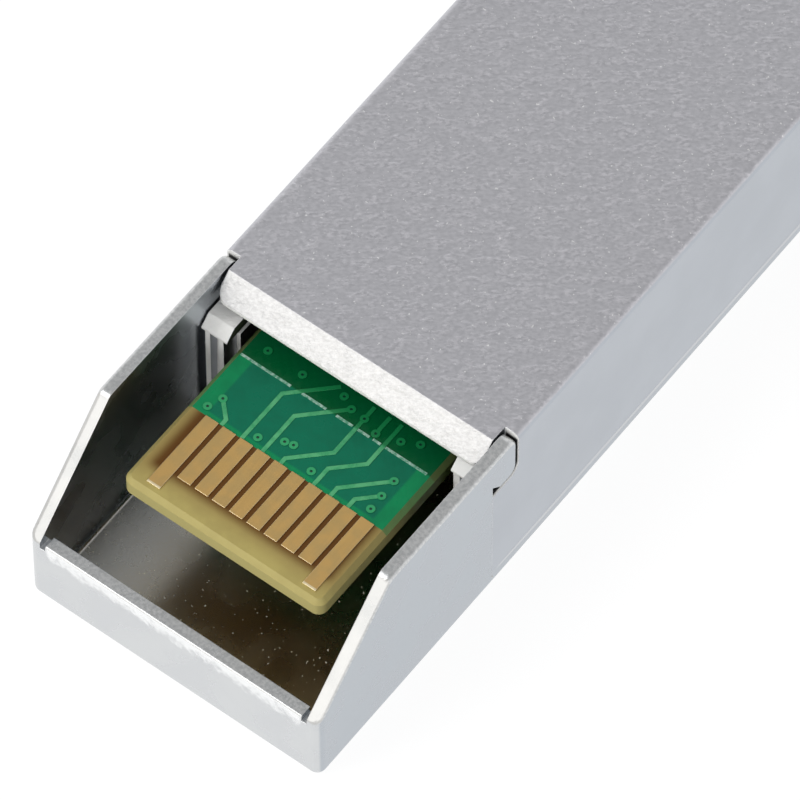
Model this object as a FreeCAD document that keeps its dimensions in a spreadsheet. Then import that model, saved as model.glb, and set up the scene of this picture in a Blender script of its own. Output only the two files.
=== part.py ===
import FreeCAD, Part
import math
import os
from types import SimpleNamespace

import Sketcher
from FreeCAD import Vector

# A pluggable optical transceiver, lying with its latch side up.
# X runs across it, +Y runs from the card edge at its rear to the optical ports, and Z is up.
# The origin is under the middle of the whole part. All sizes are in millimetres.

DIMENSIONS = {
    # outer envelope of the body and the nose
    "body_width": 13.5,
    "body_height": 8.5,
    "overall_length": 56.5,
    "nose_length": 9.0,
    "stop_thick": 1.2,
    "stop_step": 0.55,
    # folded cover: floor, rear lip and skirts
    "sheet": 0.55,
    "bend_radius": 0.4,
    "inner_bend": 0.2,
    "lip_height": 3.8,
    "lip_gap": 0.25,
    "lip_slit": 0.3,
    "lip_round": 0.1,
    "rim_round": 0.2,
    "slant_run": 4.4,
    "slant_round": 0.5,
    "skirt_length": 10.5,
    "tab_reach": 1.5,
    "tab_drop": 2.25,
    "tab_round": 0.5,
    "tab_relief": 0.45,
    "tab_gap": 0.03,
    "seam": 0.08,
    # cast base: plate, side walls, board posts and ledges
    "plate_thick": 1.0,
    "plate_bevel": 0.85,
    "plate_round": 0.3,
    "tongue_gap": 0.1,
    "tongue_round": 0.45,
    "wall": 0.8,
    "post_gap": 0.06,
    "post_width": 1.2,
    "post_rib": 0.24,
    "post_groove": 0.38,
    "left_reach": 0.8,
    "right_reach": 0.15,
    "post_drop": 1.45,
    "post_bevel": 0.45,
    "post_cap": 0.55,
    "ledge": 0.6,
    # circuit board and its edge contacts
    "board_thick": 1.0,
    "board_depth": 2.2,
    "board_inset": 2.95,
    "tongue_width": 9.2,
    "board_gap": 0.15,
    "board_corner": 0.4,
    "board_bevel": 0.2,
    "contact_pitch": 0.8,
    "contact_width": 0.6,
    "contact_thick": 0.05,
    "contact_front": 3.95,
    "long_inset": 0.4,
    "short_inset": 1.2,
    "row_shift": 0.15,
    # parts on the board
    "chip_height": 0.7,
    "chip_corner": 0.2,
    "driver_side": 5.0,
    "controller_side": 4.0,
    "amplifier_side": 3.0,
    "chip_spacing": 1.2,
    "chip_edge": 1.5,
    "capacitor_length": 1.0,
    "capacitor_width": 0.5,
    "inductor_length": 1.6,
    "inductor_width": 0.8,
    "capacitor_spacing": 1.6,
    "inductor_spacing": 2.4,
    # optical subassemblies
    "port_pitch": 6.25,
    "header_length": 1.2,
    "cap_length": 3.0,
    "cap_step": 0.35,
    "ring_length": 2.3,
    "ring_step": 0.2,
    "receiver_step": 0.3,
    "can_gap": 0.1,
    "neck_radius": 1.45,
    "neck_length": 2.5,
    "flange_radius": 1.7,
    "flange_thick": 0.9,
    "neck_reach": 0.5,
    "barrel_radius": 1.225,
    "barrel_reach": 3.4,
    "sleeve_length": 4.2,
    "sleeve_wall": 0.18,
    "ferrule_bore": 0.63,
    "sleeve_slit": 0.15,
    "barrel_lip": 0.3,
    "lead_in": 0.2,
    "close_gap": 0.02,
    "flex_thick": 0.15,
    "flex_width": 3.6,
    "flex_overlap": 2.2,
    "flex_run": 2.4,
    "flex_bend": 0.5,
    "flex_drop": 1.6,
    "clamp_thick": 1.0,
    "clamp_gap": 0.05,
    "cradle_length": 4.0,
    # nose, port block and bail
    "port": 4.6,
    "port_depth": 7.9,
    "block_wall": 0.4,
    "block_floor": 0.5,
    "block_gap": 0.03,
    "key_width": 2.7,
    "key_depth": 4.0,
    "nose_wall": 0.4,
    "nose_side": 0.55,
    "nose_inset": 0.345,
    "nose_bevel": 0.5,
    "bail_clear": 0.05,
    "bail_bar": 0.8,
    "bail_gap": 0.25,
    "bail_leg": 0.7,
    "bail_width": 0.9,
    "bail_eye": 1.0,
    "leg_gap": 0.1,
    "shaft_radius": 0.6,
    "shaft_flat": 0.15,
    "shaft_setback": 1.6,
    "running_gap": 0.04,
    # latch lever, its pin and its leaf spring
    "latch_shoulder": 2.5,
    "boss_height": 0.45,
    "boss_width": 2.6,
    "boss_length": 2.6,
    "lever_width": 3.2,
    "lever_tail": 0.9,
    "lever_inset": 0.1,
    "lever_thick": 0.7,
    "lever_neck": 0.5,
    "lever_eye": 0.65,
    "lever_rise": 0.2,
    "lever_gap": 0.25,
    "lever_tip": 0.5,
    "pivot_setback": 3.0,
    "pin_radius": 0.4,
    "pin_seat": 1.2,
    "latch_gap": 0.15,
    "channel_gap": 0.3,
    "well_floor": 0.4,
    "leaf_thick": 0.12,
    "leaf_width": 2.4,
    "leaf_foot": 0.7,
    # contact strips on the sides and the cover's screw
    "strip_thick": 0.1,
    "strip_sink": 0.15,
    "strip_bulge": 0.3,
    "strip_length": 4.4,
    "strip_setback": 0.5,
    "strip_rail": 0.6,
    "strip_margin": 1.0,
    "finger_width": 0.95,
    "finger_gap": 0.35,
    "screw_radius": 0.6,
    "screw_head": 1.2,
    "screw_length": 3.2,
    "screw_setback": 2.0,
    "cross_reach": 0.65,
    "cross_half": 0.14,
    "cross_depth": 0.45,
}

document = FreeCAD.newDocument("Transceiver")
sheet = document.addObject("Spreadsheet::Sheet", "Sizes")
for row, (alias, number) in enumerate(DIMENSIONS.items(), start=1):
    sheet.set(f"A{row}", alias)
    sheet.set(f"B{row}", str(number))
    sheet.setAlias(f"B{row}", alias)
document.recompute()


class Size:
    """A length with its value now and the expression that binds it to the sheet."""

    def __init__(self, value, text):
        self.value = float(value)
        self.text = text

    def __add__(self, other):
        return joined(self, other, "+", self.value + plain(other))

    def __radd__(self, other):
        return joined(other, self, "+", plain(other) + self.value)

    def __sub__(self, other):
        return joined(self, other, "-", self.value - plain(other))

    def __rsub__(self, other):
        return joined(other, self, "-", plain(other) - self.value)

    def __mul__(self, other):
        return joined(self, other, "*", self.value * plain(other))

    def __rmul__(self, other):
        return joined(other, self, "*", plain(other) * self.value)

    def __truediv__(self, other):
        return joined(self, other, "/", self.value / plain(other))

    def __neg__(self):
        return Size(-self.value, f"(-1 * {self.text})")


def plain(number):
    """The value of a size or of a bare number."""
    return number.value if isinstance(number, Size) else float(number)


def words(number):
    """The expression of a size or of a bare number."""
    return number.text if isinstance(number, Size) else f"({float(number)})"


def joined(first, second, sign, value):
    """A size made of two others."""
    return Size(value, f"({words(first)} {sign} {words(second)})")


def smallest(*sizes):
    """The smallest of some sizes."""
    return Size(min(plain(each) for each in sizes), f"min({'; '.join(words(each) for each in sizes)})")


def largest(*sizes):
    """The largest of some sizes."""
    return Size(max(plain(each) for each in sizes), f"max({'; '.join(words(each) for each in sizes)})")


def bind(target, path, number):
    """Ties a property to the sheet."""
    target.setExpression(path, words(number))


d = SimpleNamespace(**{alias: Size(sheet.get(alias), f"Sizes.{alias}") for alias in DIMENSIONS})

# Places along Y, from the rear face to the front face.
rear = -d.overall_length / 2
front = d.overall_length / 2
stop = front - d.nose_length
skirt_front = rear + d.skirt_length
tab_front = skirt_front + d.tab_reach
plate_start = tab_front + d.seam
board_rear = rear + d.board_inset
shoulder = plate_start + d.board_gap
cradle = stop - d.cradle_length
flange_rear = cradle - d.close_gap - d.flange_thick
neck_rear = flange_rear - d.neck_length
can_rear = neck_rear - d.ring_length - d.cap_length - d.header_length
board_front = can_rear - d.flex_run
cover_front = stop - d.seam
pivot_y = stop + d.pivot_setback
shaft_y = front - d.shaft_setback
latch_shoulder = stop - d.latch_shoulder
lever_rear = latch_shoulder - d.boss_length - d.lever_tail
well_rear = lever_rear - d.channel_gap

# Places along X, from the middle to one side.
half_width = d.body_width / 2
skirt_inside = half_width - d.sheet
tongue_half = skirt_inside - d.tongue_gap
cavity_half = half_width - d.wall
board_half = cavity_half - d.board_gap
port_x = d.port_pitch / 2
ports_half = port_x + d.port / 2 + d.block_wall
nose_half = largest(half_width - d.nose_inset, ports_half + d.block_gap + d.nose_side)
block_half = nose_half - d.nose_side - d.block_gap
leg_inside = nose_half + d.leg_gap
leg_outside = leg_inside + d.bail_leg
channel_half = d.lever_width / 2 + d.channel_gap

# Heights, from the face that the module lies on.
wall_low = d.sheet + d.seam
tab_low = d.body_height - d.tab_drop
plate_low = d.body_height - d.plate_thick
board_top = d.body_height - d.board_depth
board_low = board_top - d.board_thick
bar_top = d.bail_clear + d.bail_bar
nose_low = bar_top + d.bail_gap
block_low = nose_low + d.nose_wall
port_low = block_low + d.block_floor
optic_z = port_low + d.port / 2
block_top = port_low + d.port + d.block_wall
channel_floor = block_top + d.nose_wall
pivot_z = channel_floor + d.latch_gap + d.lever_eye
front_arm_low = pivot_z + d.shaft_flat + d.lever_gap
front_arm_top = front_arm_low + d.lever_neck
nose_top = front_arm_top + d.latch_gap
neck_top = pivot_z + d.lever_rise
neck_low = neck_top - d.lever_neck
arm_top = d.body_height - d.lever_inset
arm_low = arm_top - d.lever_thick
well_low = optic_z + d.flange_radius + d.can_gap
well_top = well_low + d.well_floor
header_radius = smallest(
    half_width - d.wall - d.can_gap - port_x,
    port_x - d.can_gap,
    plate_low - d.can_gap - optic_z,
    optic_z - d.sheet - d.can_gap,
)

PLANES = {"X": ("YZ_Plane", 1), "Y": ("XZ_Plane", -1), "Z": ("XY_Plane", 1)}
COUNT = SimpleNamespace(contacts=10, capacitors=8, inductors=4, fingers=4)


def body(name):
    """A new piece, named as its file will be."""
    piece = document.addObject("PartDesign::Body", name)
    piece.Label = name
    return piece


def sketch(piece, axis, place):
    """A sketch square to an axis, at a place along it: across is X or Y, and up is Y or Z."""
    role, sign = PLANES[axis]
    drawing = piece.newObject("Sketcher::SketchObject", "Sketch")
    plane = next(each for each in piece.Origin.OriginFeatures if each.Role == role)
    drawing.AttachmentSupport = [(plane, "")]
    drawing.MapMode = "FlatFace"
    bind(drawing, "AttachmentOffset.Base.z", place if sign > 0 else 0 - place)
    return drawing


def pin_down(drawing, geometry, point, across, up):
    """Holds a point of a sketch at its distances from the sketch's origin."""
    for kind, number in (("DistanceX", across), ("DistanceY", up)):
        rule = Sketcher.Constraint(kind, -1, 1, geometry, point, plain(number))
        index = drawing.addConstraint(rule)
        if isinstance(number, Size):
            drawing.setExpression(f"Constraints[{index}]", number.text)


def hold_radius(drawing, geometry, radius):
    """Holds the radius of a circle or an arc."""
    index = drawing.addConstraint(Sketcher.Constraint("Radius", geometry, plain(radius)))
    if isinstance(radius, Size):
        drawing.setExpression(f"Constraints[{index}]", radius.text)


def circle(drawing, across, up, radius):
    """A circle in a sketch."""
    ring = Part.Circle(Vector(plain(across), plain(up), 0), Vector(0, 0, 1), plain(radius))
    geometry = drawing.addGeometry(ring, False)
    pin_down(drawing, geometry, 3, across, up)
    hold_radius(drawing, geometry, radius)


def outline(drawing, corners):
    """A closed outline through its corners. A third value on a corner is the radius that rounds it."""
    spots = [Vector(plain(corner[0]), plain(corner[1]), 0) for corner in corners]
    radii = [corner[2] if len(corner) > 2 else None for corner in corners]
    count = len(corners)
    starts, ends, arcs = [None] * count, [None] * count, [None] * count
    for i, spot in enumerate(spots):
        to_last = (spots[i - 1] - spot).normalize()
        to_next = (spots[(i + 1) % count] - spot).normalize()
        if radii[i] is None:
            ends[i - 1], starts[i] = spot, spot
            continue
        half_angle = to_last.getAngle(to_next) / 2
        reach = plain(radii[i]) / math.tan(half_angle)
        ends[i - 1], starts[i] = spot + to_last * reach, spot + to_next * reach
        centre = spot + (to_last + to_next).normalize() * (plain(radii[i]) / math.sin(half_angle))
        left_turn = to_next.cross(to_last).z > 0
        tips = [ends[i - 1] - centre, starts[i] - centre]
        begin, end = [math.atan2(tip.y, tip.x) for tip in (tips if left_turn else tips[::-1])]
        ring = Part.Circle(centre, Vector(0, 0, 1), plain(radii[i]))
        arcs[i] = (Part.ArcOfCircle(ring, begin, end), (1, 2) if left_turn else (2, 1))
    lines = [drawing.addGeometry(Part.LineSegment(starts[i], ends[i]), False) for i in range(count)]
    for i, corner in enumerate(corners):
        if arcs[i] is None:
            drawing.addConstraint(Sketcher.Constraint("Coincident", lines[i - 1], 2, lines[i], 1))
            pin_down(drawing, lines[i], 1, corner[0], corner[1])
            continue
        curve, (first, second) = arcs[i]
        arc = drawing.addGeometry(curve, False)
        drawing.addConstraint(Sketcher.Constraint("Tangent", lines[i - 1], 2, arc, first))
        drawing.addConstraint(Sketcher.Constraint("Tangent", arc, second, lines[i], 1))
        hold_radius(drawing, arc, radii[i])
        point = drawing.addGeometry(Part.Point(spots[i]), True)
        drawing.addConstraint(Sketcher.Constraint("PointOnObject", point, 1, lines[i - 1]))
        drawing.addConstraint(Sketcher.Constraint("PointOnObject", point, 1, lines[i]))
        pin_down(drawing, point, 1, corner[0], corner[1])


def rectangle(drawing, low, high, radius=None):
    """A rectangle between two corners, rounded if a radius is given."""
    spots = [(low[0], low[1]), (high[0], low[1]), (high[0], high[1]), (low[0], high[1])]
    outline(drawing, spots if radius is None else [(*spot, radius) for spot in spots])


def grow(piece, axis, drawing, length):
    """Adds the sketch's outline, drawn out along the axis."""
    feature = piece.newObject("PartDesign::Pad", "Pad")
    feature.Profile = drawing
    feature.Reversed = PLANES[axis][1] < 0
    bind(feature, "Length", length)
    return feature


def carve(piece, axis, drawing, length):
    """Takes the sketch's outline away, drawn out along the axis, and makes sure that it cut."""
    document.recompute()
    before = piece.Shape.Volume
    feature = piece.newObject("PartDesign::Pocket", "Pocket")
    feature.Profile = drawing
    feature.Reversed = PLANES[axis][1] > 0
    bind(feature, "Length", length)
    document.recompute()
    if not piece.Shape.Volume < before:
        raise RuntimeError(f"{piece.Label}: a cut along {axis} took nothing away")
    return feature


def block(piece, low, high, cut=False):
    """A block of the piece between two opposite corners, drawn along Y, added or cut away."""
    drawing = sketch(piece, "Y", low[1])
    rectangle(drawing, (low[0], low[2]), (high[0], high[2]))
    return (carve if cut else grow)(piece, "Y", drawing, high[1] - low[1])


def prism(piece, corners, low, high, cut=False):
    """A side profile in Y and Z, drawn across from one X to another, added or cut away."""
    drawing = sketch(piece, "X", low)
    outline(drawing, corners)
    return (carve if cut else grow)(piece, "X", drawing, high - low)


def rod(piece, axis, spot, radius, low, high, cut=False):
    """A round rod along an axis, added or cut away as a hole."""
    drawing = sketch(piece, axis, low)
    circle(drawing, spot[0], spot[1], radius)
    return (carve if cut else grow)(piece, axis, drawing, high - low)


def turned(piece, steps, bore=None):
    """A turned piece about its own Y axis, from (length, radius) steps, with an optional stepped bore."""
    drawing = sketch(piece, "X", 0)
    corners = []
    place = Size(0, "(0)")
    for length, radius in steps:
        corners += [(place, radius), (place + length, radius)]
        place = place + length
    inner = [(place, 0), (0, 0)] if bore is None else bore(place)
    outline(drawing, corners + inner)
    feature = piece.newObject("PartDesign::Revolution", "Revolution")
    feature.Profile = drawing
    feature.ReferenceAxis = (drawing, ["H_Axis"])
    return feature


def seat(piece, x, y, z):
    """Puts a piece that was drawn about its own origin in its place."""
    for path, number in (("x", x), ("y", y), ("z", z)):
        bind(piece, f"Placement.Base.{path}", number)


def edges_where(feature, test):
    """The names of a feature's edges whose middle passes a test."""
    document.recompute()
    found = []
    for index, edge in enumerate(feature.Shape.Edges, start=1):
        if test(edge.CenterOfMass):
            found.append(f"Edge{index}")
    return found


def near(first, second):
    """Whether two places are the same."""
    return abs(plain(first) - plain(second)) < 1e-4


def round_edges(piece, feature, radius, test):
    """Rounds the edges of a feature that pass a test."""
    fillet = piece.newObject("PartDesign::Fillet", "Fillet")
    fillet.Base = (feature, edges_where(feature, test))
    bind(fillet, "Radius", radius)
    return fillet


def bevel_edges(piece, feature, depth, test):
    """Bevels the edges of a feature that pass a test."""
    chamfer = piece.newObject("PartDesign::Chamfer", "Chamfer")
    chamfer.Base = (feature, edges_where(feature, test))
    bind(chamfer, "Size", depth)
    return chamfer


def group(name, boxes):
    """A group of separate small blocks, each given by its low corner and its three lengths."""
    members = []
    for low, lengths in boxes:
        member = document.addObject("Part::Box", f"{name}_member")
        for path, number in zip(("Length", "Width", "Height"), lengths):
            bind(member, path, number)
        for path, number in zip("xyz", low):
            bind(member, f"Placement.Base.{path}", number)
        members.append(member)
    piece = document.addObject("Part::Compound", name)
    piece.Label = name
    piece.Links = members
    return piece


def make_cover():
    """The folded cover: a long floor, a low rear lip and two skirts with slanted rear edges."""
    cover = body("cover_shell")
    side = [
        (rear, 0),
        (cover_front, 0),
        (cover_front, d.sheet),
        (skirt_front, d.sheet),
        (skirt_front, tab_low + d.tab_relief),
        (skirt_front + d.tab_relief, tab_low),
        (tab_front, tab_low, d.tab_round),
        (tab_front, d.body_height, d.tab_round),
        (rear + d.slant_run, d.body_height, d.slant_round),
        (rear, d.lip_height),
    ]
    pressed = prism(cover, side, -half_width, half_width)

    def folded(middle):
        low_side = near(abs(middle.x), half_width) and near(middle.z, 0)
        low_rear = near(middle.y, rear) and near(middle.z, 0)
        upright = near(abs(middle.x), half_width) and near(middle.y, rear)
        return low_side or low_rear or upright

    round_edges(cover, pressed, d.bend_radius, folded)
    inside = sketch(cover, "Y", rear + d.sheet)
    outline(inside, [
        (-skirt_inside, d.sheet, d.inner_bend),
        (skirt_inside, d.sheet, d.inner_bend),
        (skirt_inside, d.body_height + d.sheet),
        (-skirt_inside, d.body_height + d.sheet),
    ])
    carve(cover, "Y", inside, d.overall_length)
    lip_top = d.lip_height
    lip_front = rear + 2 * d.sheet
    block(cover, (-skirt_inside, rear - d.sheet, lip_top), (skirt_inside, lip_front, d.body_height), True)
    lip_end = skirt_inside - d.lip_gap
    for low, high in ((lip_end, skirt_inside), (-skirt_inside, -lip_end)):
        slit_low = (low, rear - d.sheet, lip_top - d.lip_slit)
        slit = block(cover, slit_low, (high, lip_front, lip_top + d.sheet), True)

    def lip_edge(middle):
        return near(middle.y, rear) and near(middle.z, lip_top)

    def rim(middle):
        return near(abs(middle.x), half_width) and middle.z > plain(lip_top)

    eased = round_edges(cover, slit, d.rim_round, rim)
    round_edges(cover, eased, d.lip_round, lip_edge)
    screw_y = stop - d.screw_setback
    rod(cover, "Z", (0, screw_y), d.screw_head + d.close_gap, -d.sheet, d.sheet / 2, True)
    rod(cover, "Z", (0, screw_y), d.screw_radius + d.running_gap, 0, 2 * d.sheet, True)
    return cover


def make_base():
    """The cast base: a thick plate with side walls, board posts, the optics' cradle and the nose."""
    base = body("base_housing")
    side = [
        (skirt_front, wall_low),
        (stop + d.stop_thick, wall_low),
        (stop + d.stop_thick, d.body_height),
        (plate_start, d.body_height),
        (plate_start, tab_low - d.tab_gap, d.tab_round),
        (skirt_front, tab_low - d.tab_gap),
    ]
    cast = prism(base, side, -half_width, half_width)

    def long_top(middle):
        return near(abs(middle.x), half_width) and near(middle.z, d.body_height)

    round_edges(base, cast, d.plate_round, long_top)
    block(base, (-cavity_half, rear, 0), (cavity_half, cradle, plate_low), True)
    tongue = sketch(base, "Z", plate_low)
    outline(tongue, [
        (-tongue_half, skirt_front, d.tongue_round),
        (tongue_half, skirt_front, d.tongue_round),
        (tongue_half, plate_start + d.wall),
        (-tongue_half, plate_start + d.wall),
    ])
    grow(base, "Z", tongue, d.plate_thick)
    bevel = [
        (skirt_front, d.body_height - d.plate_bevel),
        (skirt_front + d.plate_bevel, d.body_height),
        (skirt_front, d.body_height),
    ]
    prism(base, bevel, -half_width, half_width, True)
    for side_sign in (-1, 1):
        make_post(base, side_sign)
        make_ledge(base, side_sign)
    well_half = channel_half + d.nose_wall
    block(base, (-well_half, well_rear - d.nose_wall, well_low), (well_half, stop, d.body_height))
    stop_half = half_width + d.stop_step
    block(base, (-stop_half, stop, 0), (stop_half, stop + d.stop_thick, nose_top))
    nose = sketch(base, "Y", stop)
    rectangle(nose, (-nose_half, nose_low), (nose_half, nose_top), d.nose_bevel)
    tip = grow(base, "Y", nose, d.nose_length)

    def low_front(middle):
        return near(middle.y, front) and middle.z < plain(block_low)

    bevel_edges(base, tip, d.nose_bevel - d.bail_clear, low_front)
    hole_half = block_half + d.block_gap
    block(base, (-hole_half, stop, block_low), (hole_half, front, block_top), True)
    channel_high = largest(nose_top, d.body_height)
    block(base, (-channel_half, stop, channel_floor), (channel_half, front, channel_high), True)
    block(base, (-channel_half, well_rear, well_top), (channel_half, stop, d.body_height), True)
    bore = d.neck_radius + d.can_gap
    for x in (-port_x, port_x):
        rod(base, "Y", (x, optic_z), bore, cradle, stop, True)
    rod(base, "Z", (0, stop - d.screw_setback), d.screw_radius, wall_low, d.screw_length + d.sheet, True)
    pin_end = channel_half + d.pin_seat
    rod(base, "X", (pivot_y, pivot_z), d.pin_radius, -pin_end, pin_end, True)
    rod(base, "X", (shaft_y, pivot_z), d.shaft_radius + d.running_gap, -nose_half, nose_half, True)
    sink = half_width - d.strip_sink
    strip_front = stop - d.strip_setback
    for low, high in ((sink, half_width), (-half_width, -sink)):
        low_corner = (low, strip_front - d.strip_length, wall_low + d.strip_margin)
        block(base, low_corner, (high, strip_front, plate_low), True)
    return base


def make_post(base, side_sign):
    """A post of the base beside the board's tongue: a bevelled cap over two thin ribs on a wall's end."""
    post_rear = skirt_front - {1: d.right_reach, -1: d.left_reach}[side_sign]
    post_top = d.body_height - d.post_drop
    outer = skirt_inside - d.post_gap
    inner = outer - d.post_width
    cap = [
        (post_rear, post_top - d.post_cap),
        (plate_start, post_top - d.post_cap),
        (plate_start, post_top),
        (post_rear + d.post_bevel, post_top),
        (post_rear, post_top - d.post_bevel),
    ]
    spans = {1: (inner, outer), -1: (-outer, -inner)}[side_sign]
    prism(base, cap, *spans)
    first = (d.post_width - d.post_groove) / 2 - d.post_rib
    for step in (first, first + d.post_rib + d.post_groove):
        low = inner + step
        rib = {1: (low, low + d.post_rib), -1: (-low - d.post_rib, -low)}[side_sign]
        block(base, (rib[0], post_rear, wall_low), (rib[1], skirt_front, post_top - d.post_bevel))
    wall_span = {1: (inner, half_width), -1: (-half_width, -inner)}[side_sign]
    low_corner = (wall_span[0], skirt_front, wall_low)
    block(base, low_corner, (wall_span[1], plate_start, tab_low - d.tab_gap))


def make_ledge(base, side_sign):
    """A ledge under the plate, along one wall, that the board's face rests against."""
    inner = cavity_half - d.ledge
    outer = cavity_half + d.wall / 2
    low, high = {1: (inner, outer), -1: (-outer, -inner)}[side_sign]
    block(base, (low, shoulder + d.board_gap, board_top), (high, board_front, plate_low + d.plate_thick / 2))


def make_board():
    """The circuit board: a wide part under the plate and a narrow bevelled tongue with the edge contacts."""
    board = body("circuit_board")
    drawing = sketch(board, "Z", board_low)
    half_tongue = d.tongue_width / 2
    outline(drawing, [
        (-half_tongue, board_rear, d.board_corner),
        (half_tongue, board_rear, d.board_corner),
        (half_tongue, shoulder),
        (board_half, shoulder),
        (board_half, board_front),
        (-board_half, board_front),
        (-board_half, shoulder),
        (-half_tongue, shoulder),
    ])
    slab = grow(board, "Z", drawing, d.board_thick)

    def rear_edge(middle):
        return near(middle.y, board_rear) and not near(middle.z, (board_low + board_top) / 2)

    bevel_edges(board, slab, d.board_bevel, rear_edge)
    return board


def make_contacts(name, height, shift):
    """One row of gold contacts on the board's tongue, the first and last reaching nearer to its edge."""
    boxes = []
    for index in range(COUNT.contacts):
        middle = d.contact_pitch * (index - (COUNT.contacts - 1) / 2) + shift
        outermost = index in (0, COUNT.contacts - 1)
        inset = d.long_inset if outermost else d.short_inset
        low = (middle - d.contact_width / 2, board_rear + inset, height)
        boxes.append((low, (d.contact_width, d.contact_front - inset, d.contact_thick)))
    return group(name, boxes)


def make_chip(name, side, x, y, z):
    """A square moulded chip with rounded corners, on the upper or the lower face of the board."""
    chip = body(name)
    drawing = sketch(chip, "Z", z)
    rectangle(drawing, (x - side / 2, y - side / 2), (x + side / 2, y + side / 2), d.chip_corner)
    grow(chip, "Z", drawing, d.chip_height)
    return chip


def make_board_parts():
    """The chips, the heat pad and the small parts on both faces of the board."""
    low_face = board_low - d.chip_height
    driver_y = board_front - d.flex_overlap - d.chip_spacing - d.driver_side / 2
    driver = make_chip("driver_chip", d.driver_side, 0, driver_y, board_top)
    controller_y = shoulder + d.chip_edge + d.controller_side / 2
    controller = make_chip("controller_chip", d.controller_side, 0, controller_y, low_face)
    amplifier_y = board_front - d.chip_edge - d.amplifier_side / 2
    amplifier = make_chip("amplifier_chip", d.amplifier_side, 0, amplifier_y, low_face)
    pad = body("heat_pad")
    pad_half = d.driver_side / 2
    pad_low = board_top + d.chip_height
    block(pad, (-pad_half, driver_y - pad_half, pad_low), (pad_half, driver_y + pad_half, plate_low))
    middle = COUNT.capacitors / 4 - 0.5
    capacitors = []
    for index in range(COUNT.capacitors):
        side_sign = 1 if index % 2 else -1
        x = side_sign * (board_half - d.chip_edge) - d.capacitor_width / 2
        y = controller_y + d.capacitor_spacing * (index // 2 - middle) - d.capacitor_length / 2
        low = (x, y, board_low - d.capacitor_width)
        capacitors.append((low, (d.capacitor_width, d.capacitor_length, d.capacitor_width)))
    inductors = []
    for index in range(COUNT.inductors):
        side_sign = 1 if index % 2 else -1
        x = side_sign * (board_half - d.chip_edge) - d.inductor_width / 2
        y = amplifier_y + d.inductor_spacing * (index // 2 - 0.5) - d.inductor_length / 2
        low = (x, y, board_low - d.inductor_width)
        inductors.append((low, (d.inductor_width, d.inductor_length, d.inductor_width)))
    return [
        driver, controller, amplifier, pad, group("capacitors", capacitors), group("inductors", inductors),
    ]


def make_optics(name, x, radius):
    """One optical subassembly: its can, its flanged barrel, the split sleeve and the flexible circuit."""
    can = body(f"{name}_can")
    turned(can, [
        (d.header_length, radius),
        (d.cap_length, radius - d.cap_step),
        (d.ring_length, radius - d.ring_step),
    ])
    seat(can, x, can_rear, optic_z)

    barrel = body(f"{name}_barrel")
    tip = stop + d.barrel_reach
    bore = d.ferrule_bore + d.sleeve_wall + d.close_gap
    mouth = d.ferrule_bore + d.sleeve_wall / 2

    def stepped_bore(end):
        bore_front = end - d.barrel_lip
        bore_rear = bore_front - d.sleeve_length - d.close_gap
        return [
            (end, mouth + d.lead_in), (bore_front, mouth),
            (bore_front, bore), (bore_rear, bore), (bore_rear, 0), (0, 0),
        ]

    turned(barrel, [
        (d.neck_length, d.neck_radius),
        (d.flange_thick, d.flange_radius),
        (stop - flange_rear - d.flange_thick + d.neck_reach, d.neck_radius),
        (d.barrel_reach - d.neck_reach, d.barrel_radius),
    ], stepped_bore)
    seat(barrel, x, neck_rear, optic_z)

    sleeve = body(f"{name}_sleeve")
    ring = sketch(sleeve, "Y", 0)
    circle(ring, 0, 0, d.ferrule_bore + d.sleeve_wall)
    circle(ring, 0, 0, d.ferrule_bore)
    grow(sleeve, "Y", ring, d.sleeve_length)
    slit_half = d.sleeve_slit / 2
    block(sleeve, (-slit_half, 0, 0), (slit_half, d.sleeve_length, 2 * d.ferrule_bore), True)
    seat(sleeve, x, tip - d.barrel_lip - d.sleeve_length, optic_z)

    flex = body(f"{name}_flex")
    bend_out = d.flex_bend + d.flex_thick
    strip = [
        (board_front - d.flex_overlap, board_top),
        (can_rear - d.flex_thick, board_top, d.flex_bend),
        (can_rear - d.flex_thick, optic_z - d.flex_drop),
        (can_rear, optic_z - d.flex_drop),
        (can_rear, board_top + d.flex_thick, bend_out),
        (board_front - d.flex_overlap, board_top + d.flex_thick),
    ]
    prism(flex, strip, x - d.flex_width / 2, x + d.flex_width / 2)
    return [can, barrel, sleeve, flex]


def make_clamp():
    """The clamp that holds both barrels: a plate with two open slots that straddle their necks."""
    clamp = body("optics_clamp")
    clamp_front = flange_rear - d.clamp_gap
    clamp_rear = clamp_front - d.clamp_thick
    half = cavity_half - d.board_gap
    slot = d.neck_radius + d.clamp_gap
    block(clamp, (-half, clamp_rear, wall_low), (half, clamp_front, well_low - d.can_gap))
    for x in (-port_x, port_x):
        rod(clamp, "Y", (x, optic_z), slot, clamp_rear, clamp_front, True)
        block(clamp, (x - slot, clamp_rear, optic_z), (x + slot, clamp_front, d.body_height), True)
    return clamp


def make_port_block():
    """The moulded block in the nose: two square ports with a key slot, open to the barrels at the back."""
    ports = body("port_block")
    ports_rear = stop + d.block_gap
    ports_front = front - d.block_gap
    low, high = block_low + d.block_gap, block_top - d.block_gap
    block(ports, (-block_half, ports_rear, low), (block_half, ports_front, high))
    for x in (-port_x, port_x):
        half = d.port / 2
        port_high = (x + half, ports_front, port_low + d.port)
        block(ports, (x - half, front - d.port_depth, port_low), port_high, True)
        key = d.key_width / 2
        block(ports, (x - key, front - d.key_depth, low), (x + key, ports_front, port_low), True)
        rod(ports, "Y", (x, optic_z), d.neck_radius + d.can_gap, ports_rear, front - d.port_depth, True)
    return ports


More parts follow.
